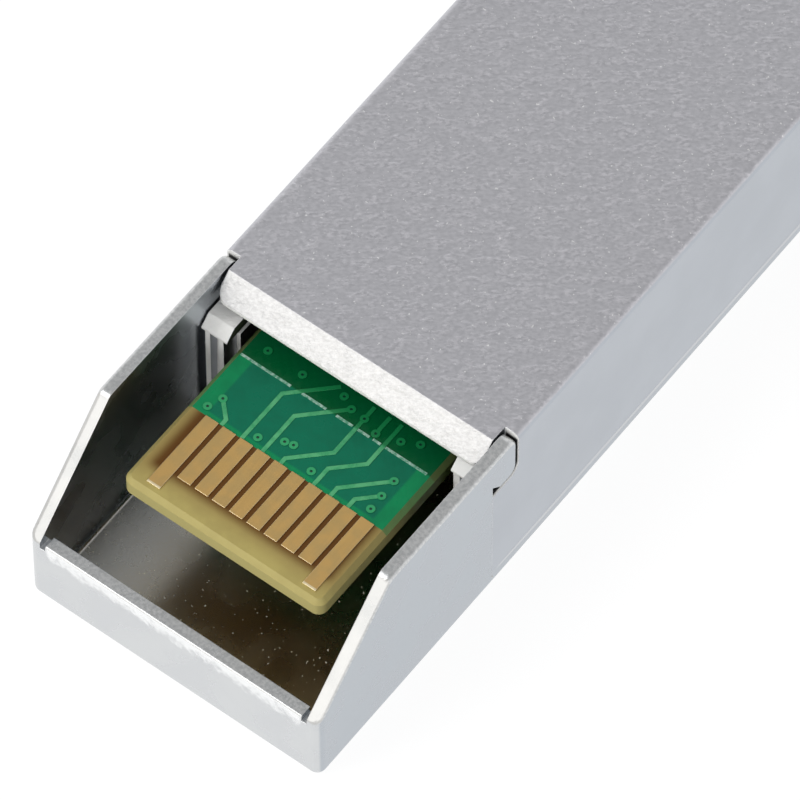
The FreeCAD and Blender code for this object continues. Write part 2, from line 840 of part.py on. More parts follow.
def make_latch():
    """The latch: a rocking lever with its wedge, the pin it turns on and the leaf spring under it."""
    lever = body("latch_lever")
    half = d.lever_width / 2
    step_y = stop - d.lever_neck
    step_end = step_y + d.lever_thick - d.lever_neck
    lever_front = shaft_y + d.lever_tip
    prism(lever, [
        (lever_rear, arm_low),
        (step_y, arm_low),
        (step_end, neck_low),
        (pivot_y, neck_low),
        (pivot_y + d.lever_eye, front_arm_low),
        (lever_front, front_arm_low),
        (lever_front, front_arm_top),
        (pivot_y, front_arm_top),
        (pivot_y - d.lever_eye, neck_top),
        (step_end, neck_top),
        (step_y, arm_top),
        (lever_rear, arm_top),
    ], -half, half)
    rod(lever, "X", (pivot_y, pivot_z), d.lever_eye, -half, half)
    boss_half = d.boss_width / 2
    prism(lever, [
        (latch_shoulder - d.boss_length, arm_top),
        (latch_shoulder, arm_top),
        (latch_shoulder, d.body_height + d.boss_height),
    ], -boss_half, boss_half)
    rod(lever, "X", (pivot_y, pivot_z), d.pin_radius + d.running_gap, -half, half, True)

    pin = body("latch_pin")
    pin_end = channel_half + d.pin_seat
    rod(pin, "X", (pivot_y, pivot_z), d.pin_radius, -pin_end, pin_end)

    spring = body("latch_spring")
    crown = arm_low - d.close_gap
    rise = lever_rear + d.leaf_foot
    crown_rear = rise + 2 * d.leaf_foot
    crown_front = crown_rear + d.leaf_foot
    fall = crown_front + 2 * d.leaf_foot
    low, thick = well_top, d.leaf_thick
    prism(spring, [
        (lever_rear, low),
        (rise, low),
        (crown_rear, crown - thick),
        (crown_front, crown - thick),
        (fall, low),
        (fall + d.leaf_foot, low),
        (fall + d.leaf_foot, low + thick),
        (fall, low + thick),
        (crown_front, crown),
        (crown_rear, crown),
        (rise, low + thick),
        (lever_rear, low + thick),
    ], -d.leaf_width / 2, d.leaf_width / 2)
    return [lever, pin, spring]


def make_bail():
    """The bail: a loop round the nose that turns on a cross shaft, whose flat lies under the lever's tip."""
    bail = body("bail_handle")
    loop = sketch(bail, "Y", shaft_y - d.bail_width / 2)
    outline(loop, [
        (-leg_outside, d.bail_clear, d.bail_bar),
        (leg_outside, d.bail_clear, d.bail_bar),
        (leg_outside, pivot_z),
        (leg_inside, pivot_z),
        (leg_inside, bar_top),
        (-leg_inside, bar_top),
        (-leg_inside, pivot_z),
        (-leg_outside, pivot_z),
    ])
    grow(bail, "Y", loop, d.bail_width)
    hole = d.shaft_radius + d.close_gap
    for low, high in ((leg_inside, leg_outside), (-leg_outside, -leg_inside)):
        rod(bail, "X", (shaft_y, pivot_z), d.bail_eye, low, high)
        rod(bail, "X", (shaft_y, pivot_z), hole, low, high, True)

    shaft = body("bail_shaft")
    rod(shaft, "X", (shaft_y, pivot_z), d.shaft_radius, -leg_outside, leg_outside)
    flat_low = (-channel_half, shaft_y - d.shaft_radius, pivot_z + d.shaft_flat)
    block(shaft, flat_low, (channel_half, shaft_y + d.shaft_radius, pivot_z + d.shaft_radius), True)
    return [bail, shaft]


def make_strip(name, side_sign):
    """A strip of spring fingers in a shallow recess on one side wall, bowed out to touch a cage."""
    strip = body(name)
    strip_front = stop - d.strip_setback - d.close_gap
    strip_rear = stop - d.strip_setback - d.strip_length + d.close_gap
    ramp = d.strip_rail
    inner = half_width - d.strip_sink
    outer = half_width + d.strip_bulge
    thick = d.strip_thick
    profile = [
        (inner, strip_rear),
        (inner, strip_rear + ramp),
        (outer - thick, strip_rear + 2 * ramp),
        (outer - thick, strip_front - 2 * ramp),
        (inner, strip_front - ramp),
        (inner, strip_front),
        (inner + thick, strip_front),
        (inner + thick, strip_front - ramp),
        (outer, strip_front - 2 * ramp),
        (outer, strip_rear + 2 * ramp),
        (inner + thick, strip_rear + ramp),
        (inner + thick, strip_rear),
    ]
    strip_low = wall_low + d.strip_margin + d.close_gap
    height = COUNT.fingers * d.finger_width + (COUNT.fingers - 1) * d.finger_gap
    drawing = sketch(strip, "Z", strip_low)
    outline(drawing, [(side_sign * x, y) for x, y in profile])
    grow(strip, "Z", drawing, height)
    for index in range(1, COUNT.fingers):
        low = strip_low + index * d.finger_width + (index - 1) * d.finger_gap
        span = {1: (inner - thick, outer + thick), -1: (-outer - thick, thick - inner)}[side_sign]
        low_corner = (span[0], strip_rear + ramp, low)
        block(strip, low_corner, (span[1], strip_front - ramp, low + d.finger_gap), True)
    return strip


def make_screw():
    """The small screw that holds the cover to the base's cradle, with its head sunk in the cover."""
    screw = body("cover_screw")
    screw_y = stop - d.screw_setback
    head_low = d.close_gap
    rod(screw, "Z", (0, screw_y), d.screw_head, head_low, d.sheet / 2)
    rod(screw, "Z", (0, screw_y), d.screw_radius - d.close_gap, head_low, d.screw_length)
    for reach, half in ((d.cross_reach, d.cross_half), (d.cross_half, d.cross_reach)):
        recess_low = (-reach, screw_y - half, 0)
        block(screw, recess_low, (reach, screw_y + half, d.cross_depth), True)
    return screw


pieces = [
    make_cover(),
    make_base(),
    make_board(),
    make_contacts("upper_contacts", board_top, d.row_shift),
    make_contacts("lower_contacts", board_low - d.contact_thick, -d.row_shift),
    *make_board_parts(),
    *make_optics("transmitter", -port_x, header_radius),
    *make_optics("receiver", port_x, header_radius - d.receiver_step),
    make_clamp(),
    make_port_block(),
    *make_latch(),
    *make_bail(),
    make_strip("left_contact_strip", -1),
    make_strip("right_contact_strip", 1),
    make_screw(),
]
document.recompute()

for item in document.Objects:
    if "Invalid" in item.State or "Error" in item.State:
        raise RuntimeError(f"{item.Label} failed: {item.State}")
for piece in pieces:
    if piece.Shape.isNull() or not piece.Shape.isValid():
        raise RuntimeError(f"{piece.Label} has no valid shape")

os.makedirs("parts", exist_ok=True)
for piece in pieces:
    piece.Shape.exportStep(f"parts/{piece.Label}.step")
    box = piece.Shape.BoundBox
    print(f"{piece.Label}: {len(piece.Shape.Solids)} solids, {piece.Shape.Volume:.2f} mm3, {box}")
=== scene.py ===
import math

import bmesh
import bpy
from mathutils import Matrix, Vector


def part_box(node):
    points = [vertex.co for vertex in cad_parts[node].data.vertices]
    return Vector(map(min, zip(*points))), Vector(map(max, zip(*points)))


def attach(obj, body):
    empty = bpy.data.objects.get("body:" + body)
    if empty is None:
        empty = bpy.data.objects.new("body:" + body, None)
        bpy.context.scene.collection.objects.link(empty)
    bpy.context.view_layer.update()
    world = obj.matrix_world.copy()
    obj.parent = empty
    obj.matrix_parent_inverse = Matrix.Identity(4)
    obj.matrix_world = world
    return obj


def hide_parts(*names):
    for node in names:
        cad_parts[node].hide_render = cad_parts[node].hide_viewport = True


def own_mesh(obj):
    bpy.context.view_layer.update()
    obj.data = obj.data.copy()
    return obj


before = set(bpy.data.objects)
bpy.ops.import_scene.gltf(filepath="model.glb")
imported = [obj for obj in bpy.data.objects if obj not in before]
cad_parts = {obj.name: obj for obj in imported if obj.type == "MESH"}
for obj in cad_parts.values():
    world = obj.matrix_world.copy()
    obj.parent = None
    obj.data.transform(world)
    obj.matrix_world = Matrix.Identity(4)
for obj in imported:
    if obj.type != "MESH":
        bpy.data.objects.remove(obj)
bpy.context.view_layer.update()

# Circuit board: a slab of glass and epoxy, routed to shape, with a bevelled rear edge.
# Green solder mask covers it under the plate. The tongue is bare, and inner copper shows through it as brown.
MM = 0.001
BOARD_LOW, BOARD_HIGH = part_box("circuit_board")
CONTACTS_LOW, CONTACTS_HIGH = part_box("upper_contacts")
BOARD_REAR = BOARD_LOW.y / MM
BOARD_TOP = BOARD_HIGH.z / MM
LINE_ALONG = 6.85
LINE_Y = BOARD_REAR + LINE_ALONG
LINE_FADE = 0.05
MASK_Y = CONTACTS_HIGH.y / MM
COPPER_LOW = (-4.15, BOARD_REAR + 1.05)
COPPER_HIGH = (4.2, MASK_Y + 1.0)
POUR_LOW = (-3.8, MASK_Y + 0.2)
POUR_HIGH = (3.85, LINE_Y)
WEAVE_CLOSENESS = 14.0


def paint(red, green, blue):
    """A colour for a shader, from the usual levels of 0 to 255."""
    def linear(level):
        share = level / 255
        return share / 12.92 if share <= 0.04045 else ((share + 0.055) / 1.055) ** 2.4
    return (linear(red), linear(green), linear(blue), 1.0)


def add_node(tree, kind, inputs=None, **settings):
    """One shader node, with its inputs set to numbers or linked to other nodes' sockets."""
    made = tree.nodes.new(kind)
    for name, value in settings.items():
        setattr(made, name, value)
    for name, value in (inputs or {}).items():
        if isinstance(value, bpy.types.NodeSocket):
            tree.links.new(value, made.inputs[name])
        else:
            made.inputs[name].default_value = value
    return made


def reckon(tree, operation, first, second=0.0):
    """One step of arithmetic on two values."""
    return add_node(tree, "ShaderNodeMath", {0: first, 1: second}, operation=operation).outputs[0]


def between(tree, value, low, high, to_low=0.0, to_high=1.0):
    """A value that rises smoothly from one level to another as the given value goes from low to high."""
    inputs = {"Value": value, "From Min": low, "From Max": high, "To Min": to_low, "To Max": to_high}
    return add_node(tree, "ShaderNodeMapRange", inputs, interpolation_type="SMOOTHSTEP").outputs[0]


def noise(tree, place, scale, detail, **more):
    """A soft random value from 0 to 1 that changes from place to place."""
    inputs = {"Vector": place, "Scale": scale, "Detail": detail, **more}
    return add_node(tree, "ShaderNodeTexNoise", inputs).outputs["Fac"]


def facings(tree):
    """How far a surface faces along each axis, from -1 to 1."""
    normal = add_node(tree, "ShaderNodeNewGeometry").outputs["Normal"]
    return add_node(tree, "ShaderNodeSeparateXYZ", {0: normal}).outputs


def blend(tree, share, first, second):
    """A colour between two others."""
    return add_node(tree, "ShaderNodeMix", {0: share, 6: first, 7: second}, data_type="RGBA").outputs[2]


def new_group(name, inputs, outputs):
    """An empty node group with its named inputs and outputs."""
    group = bpy.data.node_groups.new(name, "ShaderNodeTree")
    for socket, (kind, value) in inputs.items():
        group.interface.new_socket(name=socket, in_out="INPUT", socket_type=kind).default_value = value
    for socket, kind in outputs.items():
        group.interface.new_socket(name=socket, in_out="OUTPUT", socket_type=kind)
    given = group.nodes.new("NodeGroupInput").outputs
    result = group.nodes.new("NodeGroupOutput").inputs
    return group, given, result


def use_group(tree, group, **inputs):
    """A node group placed in a tree, as its outputs."""
    return add_node(tree, "ShaderNodeGroup", inputs, node_tree=group).outputs


def new_finish(name, plain_values):
    """A new material, its node tree and its shader, with the values that are the same all over it."""
    material = bpy.data.materials.new(name)
    material.use_nodes = True
    shader = material.node_tree.nodes["Principled BSDF"]
    for socket, value in plain_values.items():
        shader.inputs[socket].default_value = value
    return material, material.node_tree, shader


def raise_grain(tree, shader, height, strength, depth, **more):
    """Gives a shader a fine relief, from a height that varies over it and a depth in millimetres."""
    inputs = {"Height": height, "Strength": strength, "Distance": depth * MM, **more}
    bump = add_node(tree, "ShaderNodeBump", inputs)
    tree.links.new(bump.outputs["Normal"], shader.inputs["Normal"])


def dress(material, *nodes):
    """Gives a material to the frame's own nodes."""
    for name in nodes:
        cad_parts[name].material_slots[0].material = material


place_group, given, result = new_group(
    "place_in_millimetres", {},
    {"Place": "NodeSocketVector", "X": "NodeSocketFloat", "Y": "NodeSocketFloat", "Z": "NodeSocketFloat"},
)
metres = add_node(place_group, "ShaderNodeTexCoord").outputs["Object"]
scaled = add_node(place_group, "ShaderNodeVectorMath", {0: metres, "Scale": 1 / MM}, operation="SCALE")
place_group.links.new(scaled.outputs[0], result["Place"])
split = add_node(place_group, "ShaderNodeSeparateXYZ", {0: scaled.outputs[0]})
for axis in "XYZ":
    place_group.links.new(split.outputs[axis], result[axis])

window_group, given, result = new_group(
    "window",
    {
        "X": ("NodeSocketFloat", 0.0), "Y": ("NodeSocketFloat", 0.0), "Soft": ("NodeSocketFloat", 0.05),
        "Low X": ("NodeSocketFloat", 0.0), "High X": ("NodeSocketFloat", 1.0),
        "Low Y": ("NodeSocketFloat", 0.0), "High Y": ("NodeSocketFloat", 1.0),
    },
    {"Mask": "NodeSocketFloat"},
)
sides = []
for axis in "XY":
    for edge, sign in (("Low", 1), ("High", -1)):
        inside = reckon(window_group, "SUBTRACT", given[axis], given[f"{edge} {axis}"])
        outwards = reckon(window_group, "MULTIPLY", given["Soft"], -sign)
        inwards = reckon(window_group, "MULTIPLY", given["Soft"], sign)
        sides.append(between(window_group, inside, outwards, inwards))
across = reckon(window_group, "MULTIPLY", sides[0], sides[1])
along = reckon(window_group, "MULTIPLY", sides[2], sides[3])
window_group.links.new(reckon(window_group, "MULTIPLY", across, along), result["Mask"])


def window(tree, across, along, low, high, soft):
    """A mask over a rectangle with soft edges, from its low and high corners."""
    corners = {"Low X": low[0], "High X": high[0], "Low Y": low[1], "High Y": high[1]}
    return use_group(tree, window_group, X=across, Y=along, Soft=soft, **corners)["Mask"]


board_finish, tree, shader = new_finish("board_laminate", {"Specular IOR Level": 0.2})
spot = use_group(tree, place_group)
flat = between(tree, reckon(tree, "ABSOLUTE", facings(tree)["Z"]), 0.6, 0.8)
cloud = noise(tree, spot["Place"], 1.3, 4.0)
weave_across = reckon(tree, "SINE", reckon(tree, "MULTIPLY", spot["X"], WEAVE_CLOSENESS))
weave_along = reckon(tree, "SINE", reckon(tree, "MULTIPLY", spot["Y"], WEAVE_CLOSENESS))
weave = reckon(tree, "MULTIPLY", weave_across, weave_along)
from_rear = reckon(tree, "SUBTRACT", spot["Y"], BOARD_REAR)
laminate = blend(tree, between(tree, from_rear, 0.25, 1.1), paint(182, 167, 101), paint(163, 143, 85))
laminate = blend(tree, between(tree, cloud, 0.35, 0.65, 0.0, 0.25), laminate, paint(150, 132, 80))
inner_copper = window(tree, spot["X"], spot["Y"], COPPER_LOW, COPPER_HIGH, 0.28)
cut_edge = reckon(tree, "SUBTRACT", 1.0, flat)
laminate = blend(tree, cut_edge, laminate, paint(180, 169, 110))
# Painted shade: the board's cut sides darken to olive towards the plate.
shaded = reckon(tree, "MULTIPLY", cut_edge, between(tree, spot["Y"], MASK_Y - 0.5, MASK_Y + 2.5))
laminate = blend(tree, shaded, laminate, paint(74, 84, 44))
bare = blend(tree, reckon(tree, "MULTIPLY", inner_copper, flat), laminate, paint(98, 62, 18))
pour = window(tree, spot["X"], spot["Y"], POUR_LOW, POUR_HIGH, 0.06)
green = blend(tree, pour, paint(6, 140, 86), paint(2, 114, 84))
# Painted shade: past the printed line, under the plate, the mask is painted a darker green.
green = blend(tree, between(tree, spot["Y"], LINE_Y - LINE_FADE, LINE_Y + LINE_FADE), green, paint(0, 88, 46))
green = blend(tree, between(tree, cloud, 0.4, 0.7, 0.0, 0.2), green, paint(6, 84, 60))
masked = reckon(tree, "MULTIPLY", flat, between(tree, spot["Y"], MASK_Y - 0.01, MASK_Y + 0.01))
tree.links.new(blend(tree, masked, bare, green), shader.inputs["Base Color"])
rough = between(tree, cloud, 0.3, 0.7, 0.36, 0.46)
rough = reckon(tree, "SUBTRACT", rough, reckon(tree, "MULTIPLY", masked, 0.1))
tree.links.new(rough, shader.inputs["Roughness"])
raise_grain(tree, shader, weave, 0.12, 0.02)
dress(board_finish, "circuit_board")

# Copper traces: etched copper under the solder mask, which makes them raised, paler lines on the board.
# They run from the contacts towards the plate and turn at 45 degrees, or end in a plated hole.
TONGUE_HALF = 4.6
TRACE_WIDTH = 0.17
TRACE_RISE = 0.025
STRIP_SOFTNESS = 0.4
TRACES = [
    [(1.55, 4.05), (1.55, 4.25), (1.0, 4.8)],
    [(2.5, 4.05), (2.5, 6.4), (4.05, 7.95)],
    [(3.45, 4.05), (3.45, 5.9), (4.84, 7.29)],
    [(4.3, 4.05), (4.3, 4.25), (5.58, 5.53), (5.58, 7.22)],
    [(5.58, 7.5), (5.58, 8.0)],
    [(5.82, 4.0), (5.82, 4.85), (6.85, 5.88), (6.85, 8.0)],
    [(6.6, 4.0), (6.6, 4.4), (7.97, 5.77)],
    [(7.4, 4.0), (7.4, 4.4), (7.99, 4.99)],
    [(6.3, 7.24), (6.3, 8.0)],
]


def board_point(across, along):
    """A point of the board's upper face, by its distances from the tongue's left and rear edges."""
    return Vector((across - TONGUE_HALF, along + BOARD_REAR, BOARD_TOP)) * MM


def pick(piece, element, test):
    """Selects a piece's verts, edges or faces that pass a test, in edit mode."""
    bpy.ops.mesh.select_mode(type=element)
    bpy.ops.mesh.select_all(action="DESELECT")
    mesh = bmesh.from_edit_mesh(piece.data)
    for each in {"VERT": mesh.verts, "EDGE": mesh.edges, "FACE": mesh.faces}[element]:
        each.select_set(test(each))
    mesh.select_flush_mode()
    bmesh.update_edit_mesh(piece.data)


def join(name, parts):
    """Joins some objects into one named piece."""
    bpy.ops.object.select_all(action="DESELECT")
    for part in parts:
        part.select_set(True)
    bpy.context.view_layer.objects.active = parts[0]
    bpy.ops.object.join()
    piece = bpy.context.object
    piece.name = name
    return piece


def make_solid(piece, thickness, offset, softness):
    """Gives a flat piece its thickness, and softens its edges."""
    solid = piece.modifiers.new("solid", "SOLIDIFY")
    solid.thickness = thickness
    solid.offset = offset
    soft = piece.modifiers.new("soft", "BEVEL")
    soft.width = softness
    soft.segments = 2
    for modifier in ("solid", "soft"):
        bpy.ops.object.modifier_apply(modifier=modifier)


def lay_strip(corners, width):
    """A flat strip along some corners of the board: one edge, drawn from each to the next and mitred."""
    points = [board_point(*corner) for corner in corners]
    runs = [after - before for before, after in zip(points, points[1:])]
    headings = [math.atan2(run.y, run.x) for run in runs]
    bpy.ops.object.select_all(action="DESELECT")
    bpy.ops.mesh.primitive_plane_add(size=width * MM, location=points[0], rotation=(0, 0, headings[0]))
    strip = bpy.context.object
    bpy.ops.object.transform_apply(location=True, rotation=True, scale=True)
    bpy.ops.object.mode_set(mode="EDIT")
    pick(strip, "VERT", lambda corner: (corner.co - points[0]).dot(runs[0]) > 0)
    bpy.ops.transform.translate(value=runs[0].normalized() * -width / 2 * MM)
    stretch, heading = 1.0, headings[0]
    for index, run in enumerate(runs):
        last = index == len(runs) - 1
        turn = 0.0 if last else headings[index + 1] - headings[index]
        mitre = headings[index] + turn / 2
        bpy.ops.mesh.extrude_edges_move(TRANSFORM_OT_translate={"value": run})
        bpy.ops.transform.rotate(value=heading - mitre, orient_axis="Z", center_override=points[index + 1])
        grow = 1 / math.cos(turn / 2)
        bpy.ops.transform.resize(value=(grow / stretch,) * 3, center_override=points[index + 1])
        stretch, heading = grow, mitre
    bpy.ops.object.mode_set(mode="OBJECT")
    return strip


def raise_strips(name, strips, rise):
    """Joins flat strips into one piece on the board, solid and with softened edges."""
    piece = join(name, strips)
    make_solid(piece, rise * MM, 1.0, rise * STRIP_SOFTNESS * MM)
    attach(piece, "module")
    return piece


strips = [lay_strip(path, TRACE_WIDTH) for path in TRACES]
traces = raise_strips("copper_traces", strips, TRACE_RISE)
trace_finish, tree, shader = new_finish("masked_copper", {"Specular IOR Level": 0.5})
spot = use_group(tree, place_group)
cloud = noise(tree, spot["Place"], 2.5, 3.0)
# Painted shade: past the printed line, under the plate, the traces are painted darker.
shade = between(tree, spot["Y"], LINE_Y - LINE_FADE, LINE_Y + LINE_FADE)
pale = blend(tree, between(tree, cloud, 0.35, 0.65), paint(56, 160, 104), paint(84, 178, 120))
tree.links.new(blend(tree, shade, pale, paint(24, 130, 74)), shader.inputs["Base Color"])
tree.links.new(between(tree, cloud, 0.3, 0.7, 0.26, 0.36), shader.inputs["Roughness"])
traces.data.materials.append(trace_finish)

# Plated holes: rings of copper under the mask round drilled holes, where a trace goes through the board.
# Each ring stands a little proud of the face, and the hole in its middle is painted dark as shade.
VIA_RADIUS = 0.175
VIA_HOLE = 0.06
VIA_SIDES = 20
VIA_RISE = 1.2 * TRACE_RISE
VIAS = [
    (0.9, 4.9), (0.65, 4.3), (2.95, 4.35), (3.85, 4.8), (4.2, 4.88), (5.4, 4.38), (8.08, 5.88), (8.1, 5.1),
    (8.12, 4.42), (0.95, 7.55), (2.6, 7.5), (4.4, 7.68), (4.95, 7.4), (5.58, 7.36), (6.3, 7.1), (7.25, 7.38),
    (7.9, 7.72),
]
bpy.ops.object.select_all(action="DESELECT")
bpy.ops.mesh.primitive_circle_add(vertices=VIA_SIDES, radius=VIA_RADIUS * MM, fill_type="NGON")
via = bpy.context.object
bpy.ops.object.mode_set(mode="EDIT")
bpy.ops.mesh.select_all(action="SELECT")
bpy.ops.mesh.extrude_region_move(TRANSFORM_OT_translate={"value": (0, 0, VIA_RISE * MM)})
bpy.ops.mesh.inset(thickness=(VIA_RADIUS - VIA_HOLE) * MM)
bpy.ops.mesh.extrude_region_move(TRANSFORM_OT_translate={"value": (0, 0, -TRACE_RISE * MM)})
bpy.ops.mesh.select_all(action="SELECT")
bpy.ops.mesh.normals_make_consistent(inside=False)
bpy.ops.object.mode_set(mode="OBJECT")
rings = []
for across, along in VIAS:
    ring = via.copy()
    ring.data = via.data.copy()
    ring.data.transform(Matrix.Translation(board_point(across, along)))
    bpy.context.collection.objects.link(ring)
    rings.append(ring)
bpy.data.objects.remove(via)
holes = join("plated_holes", rings)
via_finish, tree, shader = new_finish("plated_hole", {"Specular IOR Level": 0.5, "Roughness": 0.32})
spot = use_group(tree, place_group)
above = reckon(tree, "SUBTRACT", spot["Z"], BOARD_TOP)
# Painted shade: the shallow hole is painted near black, and past the printed line, under the plate, the rings
# are painted darker.
hole_shade = between(tree, above, 0.012, 0.02)
shade = between(tree, spot["Y"], LINE_Y - LINE_FADE, LINE_Y + LINE_FADE)
ring_colour = blend(tree, shade, paint(40, 160, 100), paint(20, 128, 72))
tree.links.new(blend(tree, hole_shade, paint(4, 62, 45), ring_colour), shader.inputs["Base Color"])
holes.data.materials.append(via_finish)
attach(holes, "module")

# Printed line: a line of pale ink across the board, printed over the mask to show how far it goes in.
# It is broken where the traces' raised edges cross it.
LINE_WIDTH = 0.11
LINE_RISE = 0.012
LINE_RUNS = [(0.28, 2.55), (3.12, 4.2), (4.72, 5.42), (5.72, 6.2), (6.42, 6.72), (7.0, 8.85)]
strips = [lay_strip([(start, LINE_ALONG), (end, LINE_ALONG)], LINE_WIDTH) for start, end in LINE_RUNS]
line = raise_strips("printed_line", strips, LINE_RISE)
line_finish, tree, shader = new_finish("pale_ink", {"Roughness": 0.6})
spot = use_group(tree, place_group)
worn = noise(tree, spot["Place"], 6.0, 4.0)
ink = blend(tree, between(tree, worn, 0.36, 0.66), paint(72, 150, 116), paint(176, 208, 192))
tree.links.new(ink, shader.inputs["Base Color"])
line.data.materials.append(line_finish)

# Edge contacts: flat strips of copper with hard gold plate on both faces of the tongue.
# They wipe along the socket's springs, so faint lines run along them. Their edges and rear ends carry a
# painted highlight.
# Edge mask: where a rounded normal leans away from the face. Finishes lighten their edges with it, partly as
# wear and partly as a painted highlight.
edge_group, given, result = new_group(
    "edge_wear_and_highlight", {"Radius": ("NodeSocketFloat", 0.05)},
    {"Mask": "NodeSocketFloat", "Normal": "NodeSocketVector"},
)
radius = reckon(edge_group, "MULTIPLY", given["Radius"], MM)
rounded = add_node(edge_group, "ShaderNodeBevel", {"Radius": radius}, samples=6).outputs["Normal"]
facing = add_node(edge_group, "ShaderNodeNewGeometry").outputs["Normal"]
agree = add_node(edge_group, "ShaderNodeVectorMath", {0: rounded, 1: facing}, operation="DOT_PRODUCT")
edge_group.links.new(between(edge_group, agree.outputs["Value"], 0.99, 0.8), result["Mask"])
edge_group.links.new(rounded, result["Normal"])

gold_finish, tree, shader = new_finish("hard_gold", {"Metallic": 1.0})
spot = use_group(tree, place_group)
edge = use_group(tree, edge_group, Radius=0.04)
stretched = {"Vector": spot["Place"], "Scale": (18.0, 0.8, 1.0)}
lengthwise = add_node(tree, "ShaderNodeMapping", stretched).outputs[0]
wiped = noise(tree, lengthwise, 1.0, 3.0)
cloud = noise(tree, spot["Place"], 1.6, 3.0)
gold = blend(tree, between(tree, cloud, 0.35, 0.65), paint(224, 184, 116), paint(214, 180, 118))
# Painted highlight: a cream band at each contact's rear end and along its edges.
rear_end = between(tree, reckon(tree, "SUBTRACT", spot["Y"], CONTACTS_LOW.y / MM), 0.12, 0.06)
bright = reckon(tree, "MAXIMUM", edge["Mask"], rear_end)
tree.links.new(blend(tree, bright, gold, paint(252, 236, 196)), shader.inputs["Base Color"])
tree.links.new(between(tree, wiped, 0.3, 0.7, 0.3, 0.42), shader.inputs["Roughness"])
raise_grain(tree, shader, wiped, 0.1, 0.01, Normal=edge["Normal"])
dress(gold_finish, "upper_contacts", "lower_contacts")

# Chips: integrated circuits moulded in black resin, a driver on the board's upper face and two below it.
# They are soldered by pads under their bodies, and keep the mould's matt skin.
FLECK_SHIFT = (37.0, 11.0, 23.0)
grain_group, given, result = new_group(
    "fine_grain", {"Place": ("NodeSocketVector", (0.0, 0.0, 0.0)), "Size": ("NodeSocketFloat", 0.1)},
    {"Height": "NodeSocketFloat", "Fleck": "NodeSocketFloat"},
)
closeness = reckon(grain_group, "DIVIDE", 1.0, given["Size"])
grains = noise(grain_group, given["Place"], closeness, 4.0, Roughness=0.6)
apart = add_node(grain_group, "ShaderNodeVectorMath", {0: given["Place"], 1: FLECK_SHIFT}).outputs[0]
flecks = noise(grain_group, apart, closeness, 1.0)
grain_group.links.new(grains, result["Height"])
grain_group.links.new(between(grain_group, flecks, 0.7, 0.78), result["Fleck"])


def plain_finish(name, values, dark, light, grain, roughness, depth, edge_radius=None):
    """A finish with grain: two colours, the grain's size, a range of roughness, a depth, and soft edges."""
    material, tree, shader = new_finish(name, values)
    spot = use_group(tree, place_group)
    grains = use_group(tree, grain_group, Place=spot["Place"], Size=grain)
    share = between(tree, grains["Height"], 0.35, 0.65)
    colour = blend(tree, share, dark, light)
    tree.links.new(between(tree, grains["Height"], 0.3, 0.7, *roughness), shader.inputs["Roughness"])
    rounded = {}
    if edge_radius is not None:
        edge = use_group(tree, edge_group, Radius=edge_radius)
        rounded["Normal"] = edge["Normal"]
        # Edges are lightened, partly as wear and partly as a painted highlight.
        colour = blend(tree, reckon(tree, "MULTIPLY", edge["Mask"], 0.35), colour, light)
    raise_grain(tree, shader, grains["Height"], 0.3, depth, **rounded)
    tree.links.new(colour, shader.inputs["Base Color"])
    return material


chip_resin = plain_finish("chip_resin", {}, paint(26, 26, 27), paint(44, 44, 45), 0.12, (0.55, 0.7), 0.02)
dress(chip_resin, "driver_chip", "controller_chip", "amplifier_chip")

# Heat pad: a soft block of silicone filled with ceramic powder, cut from a sheet.
# It is squeezed between the driver chip and the plate, and carries the chip's heat to it.
pad_rubber = plain_finish(
    "heat_pad_rubber", {}, paint(140, 152, 168), paint(164, 174, 186), 0.25, (0.7, 0.85), 0.03,
)
dress(pad_rubber, "heat_pad")

# Capacitors: small fired ceramic blocks with tinned ends, soldered in two rows under the board.
# Inductors: dark ferrite blocks beside the amplifier chip, with the same tinned ends.
CAPACITOR_PITCH, CAPACITOR_LENGTH, CAPACITOR_CAP = 1.6, 1.0, 0.22
INDUCTOR_PITCH, INDUCTOR_LENGTH, INDUCTOR_CAP = 2.4, 1.6, 0.35


def tinned_block(name, body_dark, body_light, first_y, spacing, length, cap):
    """A finish for rows of small blocks along Y: a grained body, and tin over both ends of each block."""
    material, tree, shader = new_finish(name, {})
    spot = use_group(tree, place_group)
    grains = use_group(tree, grain_group, Place=spot["Place"], Size=0.1)["Height"]
    along = reckon(tree, "FLOORED_MODULO", reckon(tree, "SUBTRACT", spot["Y"], first_y), spacing)
    near_end = reckon(tree, "MINIMUM", along, reckon(tree, "SUBTRACT", length, along))
    tin = between(tree, near_end, cap + 0.02, cap - 0.02)
    body = blend(tree, between(tree, grains, 0.35, 0.65), body_dark, body_light)
    tree.links.new(blend(tree, tin, body, paint(206, 208, 210)), shader.inputs["Base Color"])
    tree.links.new(tin, shader.inputs["Metallic"])
    tree.links.new(between(tree, grains, 0.3, 0.7, 0.32, 0.5), shader.inputs["Roughness"])
    return material


capacitor_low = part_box("capacitors")[0].y / MM
capacitor_body = tinned_block(
    "capacitor_body", paint(146, 116, 84), paint(168, 138, 102),
    capacitor_low, CAPACITOR_PITCH, CAPACITOR_LENGTH, CAPACITOR_CAP,
)
dress(capacitor_body, "capacitors")
inductor_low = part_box("inductors")[0].y / MM
inductor_body = tinned_block(
    "inductor_body", paint(52, 52, 56), paint(74, 74, 78),
    inductor_low, INDUCTOR_PITCH, INDUCTOR_LENGTH, INDUCTOR_CAP,
)
dress(inductor_body, "inductors")

